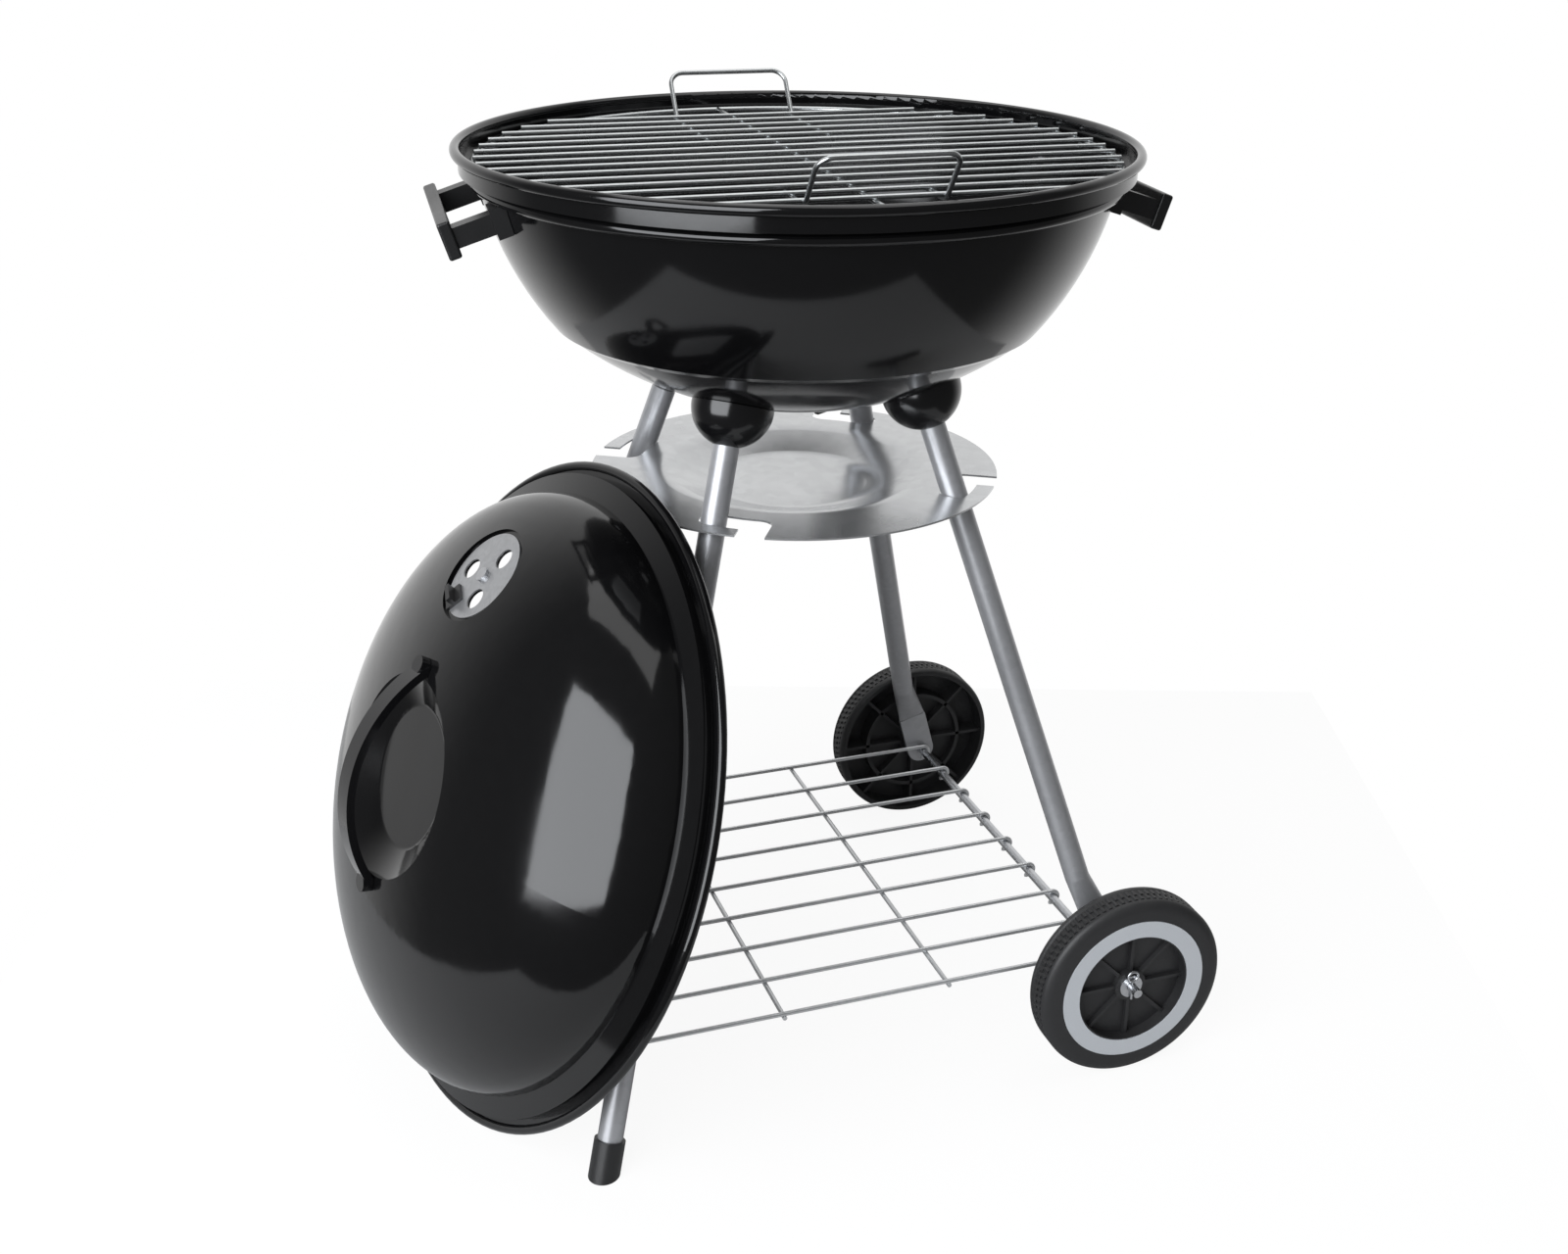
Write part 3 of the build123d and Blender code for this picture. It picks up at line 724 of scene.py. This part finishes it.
@dataclass
class Wheels(SubAssembly):
    """The two wheels, turned with their tread, in place of the plain CAD wheels.

    Sizes are in millimetres: radii from the axle, and depths behind the wheel's outer face.

    Attributes:
        bore: Radius of the axle's hole.
        hub: Outside radius of the hub.
        hub_front: Depth of the hub's outer end.
        web: Depths of the two faces of the web about the hub.
        rim: Inside and outside radius of the rim about the web.
        rim_back: Depth of that rim's inner edge.
        ring_bed: Inside and outside radius of the grey ring's bed.
        ring_bed_depth: Depth of that bed.
        face_back: Depth of the back of the outer face.
        tyre_inner: Inside radius of the tyre.
        tyre_back: Depth of the tyre's inner edge.
        shoulder: Size of the tyre's rounded edges.
        shoulder_wide: Factor on it for the outer edge, along the radius.
        shoulder_deep: Factor on it for both edges, along the axle.
        shoulder_back: Factor on it for the inner edge, along the radius.
        shoulder_steps: Steps in each rounded edge.
        tread_rows: First and last depth of each row of tread blocks.
        tread_groove: Depth of the grooves between the blocks.
        tread_flank: How far the flank of a row leans along the axle.
        rib_count: Blocks in a row.
        rib_samples: Steps about the axle for a block and its groove.
        spoke_count: Number of spokes.
        spoke_thickness: Thickness of a spoke.
        spoke_overlap: How far a spoke runs into the hub and the tyre.
        crease: Angle in degrees above which an edge stays sharp.
    """

    coats: dict[str, Finish] = field(
        default_factory=lambda: {"wheel_ring_front": GREY_PLASTIC, "wheel_ring_rear": GREY_PLASTIC}
    )
    bore: float = 3.05
    hub: float = 11.0
    hub_front: float = 4.0
    web: tuple[float, float] = (8.0, 12.0)
    rim: tuple[float, float] = (38.5, 41.5)
    rim_back: float = 19.0
    ring_bed: tuple[float, float] = (39.3, 51.2)
    ring_bed_depth: float = 1.2
    face_back: float = 5.0
    tyre_inner: float = 60.0
    tyre_back: float = 23.0
    shoulder: float = 6.0
    shoulder_wide: float = 1.35
    shoulder_deep: float = 0.8
    shoulder_back: float = 0.5
    shoulder_steps: int = 7
    tread_rows: tuple[tuple[float, float], ...] = ((6.4, 11.2), (11.9, 16.6))
    tread_groove: float = 0.9
    tread_flank: float = 0.05
    rib_count: int = 88
    rib_samples: int = 4
    spoke_count: int = 8
    spoke_thickness: float = 2.4
    spoke_overlap: float = 1.0
    crease: float = 32.0

    def build(self) -> None:
        """Adds the wheel that stands for each plain one."""
        for side in Side:
            node = "wheel_" + side.name.lower()
            low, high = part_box(node)
            face = low[1] if side is Side.FRONT else high[1]
            middle = Vector(((low[0] + high[0]) / 2, face, (low[2] + high[2]) / 2))
            radius = (high[2] - low[2]) / 2 / MM
            hub_back = (high[1] - low[1]) / MM
            mesh = self._wheel(middle, side.value, radius, hub_back)
            piece = self.add("turned_" + node, mesh, node, "black_plastic", TYRE)
            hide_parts(node)

    def _profile(self, radius: float, hub_back: float) -> list[tuple[float, float, int]]:
        """Draws the wheel's section.

        Args:
            radius: The tyre's outside radius.
            hub_back: Depth of the hub's inner end.

        Returns:
            Radius, depth and tread row (-1 off the tread) of each point, round the section.
        """
        front, back = self.web
        inner, outer = self.rim
        low, high = self.ring_bed
        bed = self.ring_bed_depth
        points = [(self.bore, self.hub_front), (self.hub, self.hub_front), (self.hub, front)]
        points += [(inner, front), (inner, 0.0), (low, 0.0), (low, bed), (high, bed), (high, 0.0)]
        steps = range(self.shoulder_steps + 1)
        quarter = [pi / 2 * step / self.shoulder_steps for step in steps]
        wide = self.shoulder * self.shoulder_wide
        deep = self.shoulder * self.shoulder_deep
        drop = self.shoulder * self.shoulder_back
        points += [(radius - wide * (1 - sin(a)), deep * (1 - cos(a))) for a in quarter]
        section = [(reach, depth, -1) for reach, depth in points]
        for row, (start, end) in enumerate(self.tread_rows):
            section.append((radius - self.tread_groove, start - self.tread_flank, -1))
            section += [(radius, start, row), (radius, end, row)]
            section.append((radius - self.tread_groove, end + self.tread_flank, -1))
        rest = [
            (radius - drop * (1 - cos(a)), self.tyre_back - deep * (1 - sin(a))) for a in quarter
        ]
        rest += [(self.tyre_inner, self.tyre_back), (self.tyre_inner, self.face_back)]
        rest += [(outer, self.face_back), (outer, self.rim_back)]
        rest += [(inner, self.rim_back), (inner, back)]
        rest += [(self.hub, back), (self.hub, hub_back), (self.bore, hub_back)]
        return section + [(reach, depth, -1) for reach, depth in rest]

    def _wheel(
        self, middle: Vector, outward: float, radius: float, hub_back: float
    ) -> bpy.types.Mesh:
        """Turns the section and adds the spokes.

        Args:
            middle: Centre of the outer face.
            outward: 1 or -1, the way that the outer face looks along Y.
            radius: The tyre's outside radius, in millimetres.
            hub_back: Depth of the hub's inner end, in millimetres.

        Returns:
            The wheel's mesh.
        """
        form = bmesh.new()
        section = self._profile(radius, hub_back)
        turns = self.rib_count * self.rib_samples
        half = self.rib_samples // 2
        rows = []
        for turn in range(turns):
            angle = tau * turn / turns
            row = []
            for reach, depth, tread in section:
                shifted = (turn + tread * half) % self.rib_samples
                cut = self.tread_groove if tread >= 0 and shifted >= half else 0.0
                row.append(form.verts.new(self._point(middle, outward, reach - cut, depth, angle)))
            rows.append(row)
        for first, second in zip(rows, rows[1:] + rows[:1]):
            for place in range(len(section)):
                after = (place + 1) % len(section)
                form.faces.new((first[place], first[after], second[after], second[place]))
        for number in range(self.spoke_count):
            self._spoke(form, middle, outward, tau * number / self.spoke_count)
        bmesh.ops.recalc_face_normals(form, faces=form.faces)
        mesh = bpy.data.meshes.new("turned_wheel")
        form.to_mesh(mesh)
        form.free()
        mesh.shade_smooth()
        mesh.set_sharp_from_angle(angle=radians(self.crease))
        return mesh

    @staticmethod
    def _point(
        middle: Vector, outward: float, reach: float, depth: float, angle: float
    ) -> Vector:
        """Returns the place of a radius and a depth, in millimetres, at an angle."""
        along = Vector((reach * sin(angle), -outward * depth, -reach * cos(angle)))
        return middle + along * MM

    def _spoke(
        self, form: bmesh.types.BMesh, middle: Vector, outward: float, angle: float
    ) -> None:
        """Adds one spoke, a plate on edge that runs through the web.

        Args:
            form: The mesh that is being made.
            middle: Centre of the outer face.
            outward: 1 or -1, the way that the outer face looks along Y.
            angle: The spoke's place round the wheel.
        """
        side = Vector((cos(angle), 0.0, sin(angle))) * (self.spoke_thickness / 2 * MM)
        corners = []
        for reach in (self.hub - self.spoke_overlap, self.tyre_inner + self.spoke_overlap):
            for depth in (self.face_back, self.rim_back):
                place = self._point(middle, outward, reach, depth, angle)
                corners.append(form.verts.new(place - side))
                corners.append(form.verts.new(place + side))
        for face in PLATE_FACES:
            form.faces.new([corners[place] for place in face])


@dataclass
class Camera:
    """The camera, at the photograph's place.

    Attributes:
        place: Its place, from the bowl's axis at the floor.
        heading: Degrees that it looks to the right of Y.
        pitch: Degrees that it looks down.
        roll: Degrees that it leans.
        lens: Focal length in millimetres.
        sensor: Width of the picture plane in millimetres.
    """

    place: Point = (-0.3822, -1.0649, 0.7696)
    heading: float = 19.48
    pitch: float = 24.02
    roll: float = 0.62
    lens: float = 42.21
    sensor: float = 36.0

    def build(self) -> None:
        """Adds the camera, placed from the bowl's axis."""
        axis = bowl_axis()
        yaw = radians(self.heading)
        tilt = radians(self.pitch)
        ahead = Vector((sin(yaw) * cos(tilt), cos(yaw) * cos(tilt), -sin(tilt)))
        right = Vector((cos(yaw), -sin(yaw), 0.0))
        up = right.cross(ahead)
        turn = radians(self.roll)
        across = cos(turn) * right + sin(turn) * up
        above = cos(turn) * up - sin(turn) * right
        data = bpy.data.cameras.new("camera")
        data.lens = self.lens
        data.sensor_width = self.sensor
        data.sensor_fit = "HORIZONTAL"
        made = bpy.data.objects.new("camera", data)
        bpy.context.scene.collection.objects.link(made)
        made.matrix_world = Matrix(
            (
                (across.x, above.x, -ahead.x, axis.x + self.place[0]),
                (across.y, above.y, -ahead.y, axis.y + self.place[1]),
                (across.z, above.z, -ahead.z, self.place[2]),
                (0.0, 0.0, 0.0, 1.0),
            )
        )
        bpy.context.scene.camera = made


@dataclass(frozen=True)
class Softbox:
    """One soft rectangular lamp.

    Attributes:
        name: The lamp's name.
        place: Where its middle is.
        aim: The point that it faces.
        size: Width and height.
        power: Watts.
        tint: Colour of its light.
    """

    name: str
    place: Point
    aim: Point
    size: tuple[float, float]
    power: float
    tint: Rgb = (1.0, 1.0, 1.0)

    def build(self) -> None:
        """Adds the lamp."""
        data = bpy.data.lights.new(self.name, "AREA")
        data.shape = "RECTANGLE"
        data.size, data.size_y = self.size
        data.energy = self.power
        data.color = self.tint
        lamp = bpy.data.objects.new(self.name, data)
        bpy.context.scene.collection.objects.link(lamp)
        facing = Vector(self.aim) - Vector(self.place)
        lamp.rotation_euler = facing.to_track_quat("-Z", "Y").to_euler()
        lamp.location = self.place


@dataclass
class Studio:
    """A white room with a pale floor and soft lamps.

    Attributes:
        floor_size: Width and depth of the floor.
        floor_color: The floor's colour as the grill sees it.
        floor_seen: The floor's colour as the camera sees it.
        floor_roughness: The floor's roughness.
        floor_lift: How much of the floor is plain white to the camera; the rest keeps the shadow.
        ambient: Strength of the room's own light.
        glossy_drop: How much weaker that light is in reflections.
        sweep_bearing: Degrees to the right of Y at which the white sweep stands.
        sweep_edge: Cosines to that bearing between which the sweep fades in.
        sweep_range: How white the sweep is at the two ends of the fade.
        lamps: The soft lamps.
    """

    floor_size: tuple[float, float] = (1.06, 0.98)
    floor_color: Rgb = (0.50, 0.50, 0.50)
    floor_seen: Rgb = (0.96, 0.96, 0.96)
    floor_roughness: float = 0.9
    floor_lift: float = 0.92
    ambient: float = 0.30
    glossy_drop: float = 0.18
    sweep_bearing: float = 19.5
    sweep_edge: tuple[float, float] = (0.05, 0.80)
    sweep_range: tuple[float, float] = (0.0, 0.9)
    lamps: tuple[Softbox, ...] = (
        Softbox(
            name="left_softbox",
            place=(-1.45, -1.0, 0.98),
            aim=(-0.1, 0.0, 0.3),
            size=(1.75, 1.8),
            power=64.0,
            tint=(0.94, 0.965, 1.0),
        ),
        Softbox(
            name="top_softbox",
            place=(0.2, 0.2, 2.3),
            aim=(0.0, 0.0, 0.3),
            size=(2.2, 1.8),
            power=20.0,
        ),
    )

    def build(self) -> None:
        """Adds the floor, the lamps and the world."""
        self._floor()
        for lamp in self.lamps:
            lamp.build()
        self._world()
        bpy.context.scene.view_settings.view_transform = "Standard"

    def _floor(self) -> None:
        """Adds the floor, which keeps a soft part of the shadow."""
        bpy.ops.mesh.primitive_plane_add(size=1.0)
        floor = bpy.context.object
        floor.name = "floor"
        floor.scale = (*self.floor_size, 1.0)
        floor.rotation_euler.z = -radians(self.sweep_bearing)
        material = bpy.data.materials.new("pale_floor")
        material.use_nodes = True
        wire = Wire(material.node_tree)
        base = material.node_tree.nodes["Principled BSDF"]
        base.inputs["Roughness"].default_value = self.floor_roughness
        glow = wire.node("ShaderNodeEmission")
        mix = wire.node("ShaderNodeMixShader")
        rays = wire.node("ShaderNodeLightPath")
        tone = wire.node("ShaderNodeMix", data_type="RGBA")
        tone.inputs["A"].default_value = (*self.floor_color, 1.0)
        tone.inputs["B"].default_value = (*self.floor_seen, 1.0)
        wire.link(rays.outputs["Is Camera Ray"], tone.inputs["Factor"])
        wire.link(tone.outputs["Result"], base.inputs["Base Color"])
        seen = wire.math("MULTIPLY", rays.outputs["Is Camera Ray"], self.floor_lift)
        wire.link(seen, mix.inputs[0])
        wire.link(base.outputs[0], mix.inputs[1])
        wire.link(glow.outputs[0], mix.inputs[2])
        wire.link(mix.outputs[0], material.node_tree.nodes["Material Output"].inputs["Surface"])
        floor.data.materials.append(material)

    def _world(self) -> None:
        """Sets a white background with a quieter light of its own."""
        world = bpy.data.worlds.new("studio")
        bpy.context.scene.world = world
        world.use_nodes = True
        wire = Wire(world.node_tree)
        quiet = world.node_tree.nodes["Background"]
        quiet.inputs["Color"].default_value = WHITE
        rays = wire.node("ShaderNodeLightPath")
        glossy = rays.outputs["Is Glossy Ray"]
        dim = wire.math("MULTIPLY_ADD", glossy, -self.glossy_drop, self.ambient)
        wire.link(dim, quiet.inputs["Strength"])
        white = wire.node("ShaderNodeBackground")
        white.inputs["Color"].default_value = WHITE
        mix = wire.node("ShaderNodeMixShader")
        mirrored = wire.math("MAXIMUM", glossy, rays.outputs["Is Transmission Ray"])
        partly = wire.math("MULTIPLY", mirrored, self._sweep(wire))
        wire.link(wire.math("MAXIMUM", rays.outputs["Is Camera Ray"], partly), mix.inputs[0])
        wire.link(quiet.outputs[0], mix.inputs[1])
        wire.link(white.outputs[0], mix.inputs[2])
        wire.link(mix.outputs[0], world.node_tree.nodes["World Output"].inputs["Surface"])

    def _sweep(self, wire: Wire) -> bpy.types.NodeSocket:
        """Fades the white sweep that stands behind the grill out towards the front of the room.

        Args:
            wire: The world's tree.

        Returns:
            How white the room is in a direction.
        """
        place = wire.node("ShaderNodeTexCoord")
        ahead = wire.node("ShaderNodeVectorMath", operation="DOT_PRODUCT")
        bearing = radians(self.sweep_bearing)
        ahead.inputs[1].default_value = (sin(bearing), cos(bearing), 0.0)
        fade = wire.node("ShaderNodeMapRange", interpolation_type="SMOOTHSTEP")
        labels = ("From Min", "From Max", "To Min", "To Max")
        for label, value in zip(labels, self.sweep_edge + self.sweep_range):
            fade.inputs[label].default_value = value
        wire.link(place.outputs["Generated"], ahead.inputs[0])
        wire.link(ahead.outputs["Value"], fade.inputs["Value"])
        return fade.outputs["Result"]


def main() -> None:
    """Dresses the sub-assemblies in order, then lights and frames them."""
    logging.basicConfig(level=logging.INFO, format="%(name)s: %(message)s")
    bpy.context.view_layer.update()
    paint = Paint()
    bowl = Bowl(paint)
    bowl.dress()
    bowl.build()
    Stand(paint).dress()
    wheels = Wheels(paint)
    wheels.dress()
    wheels.build()
    Grates(paint).dress()
    Lid(paint).dress()
    Studio().build()
    Camera().build()


if __name__ == "__main__":
    main()
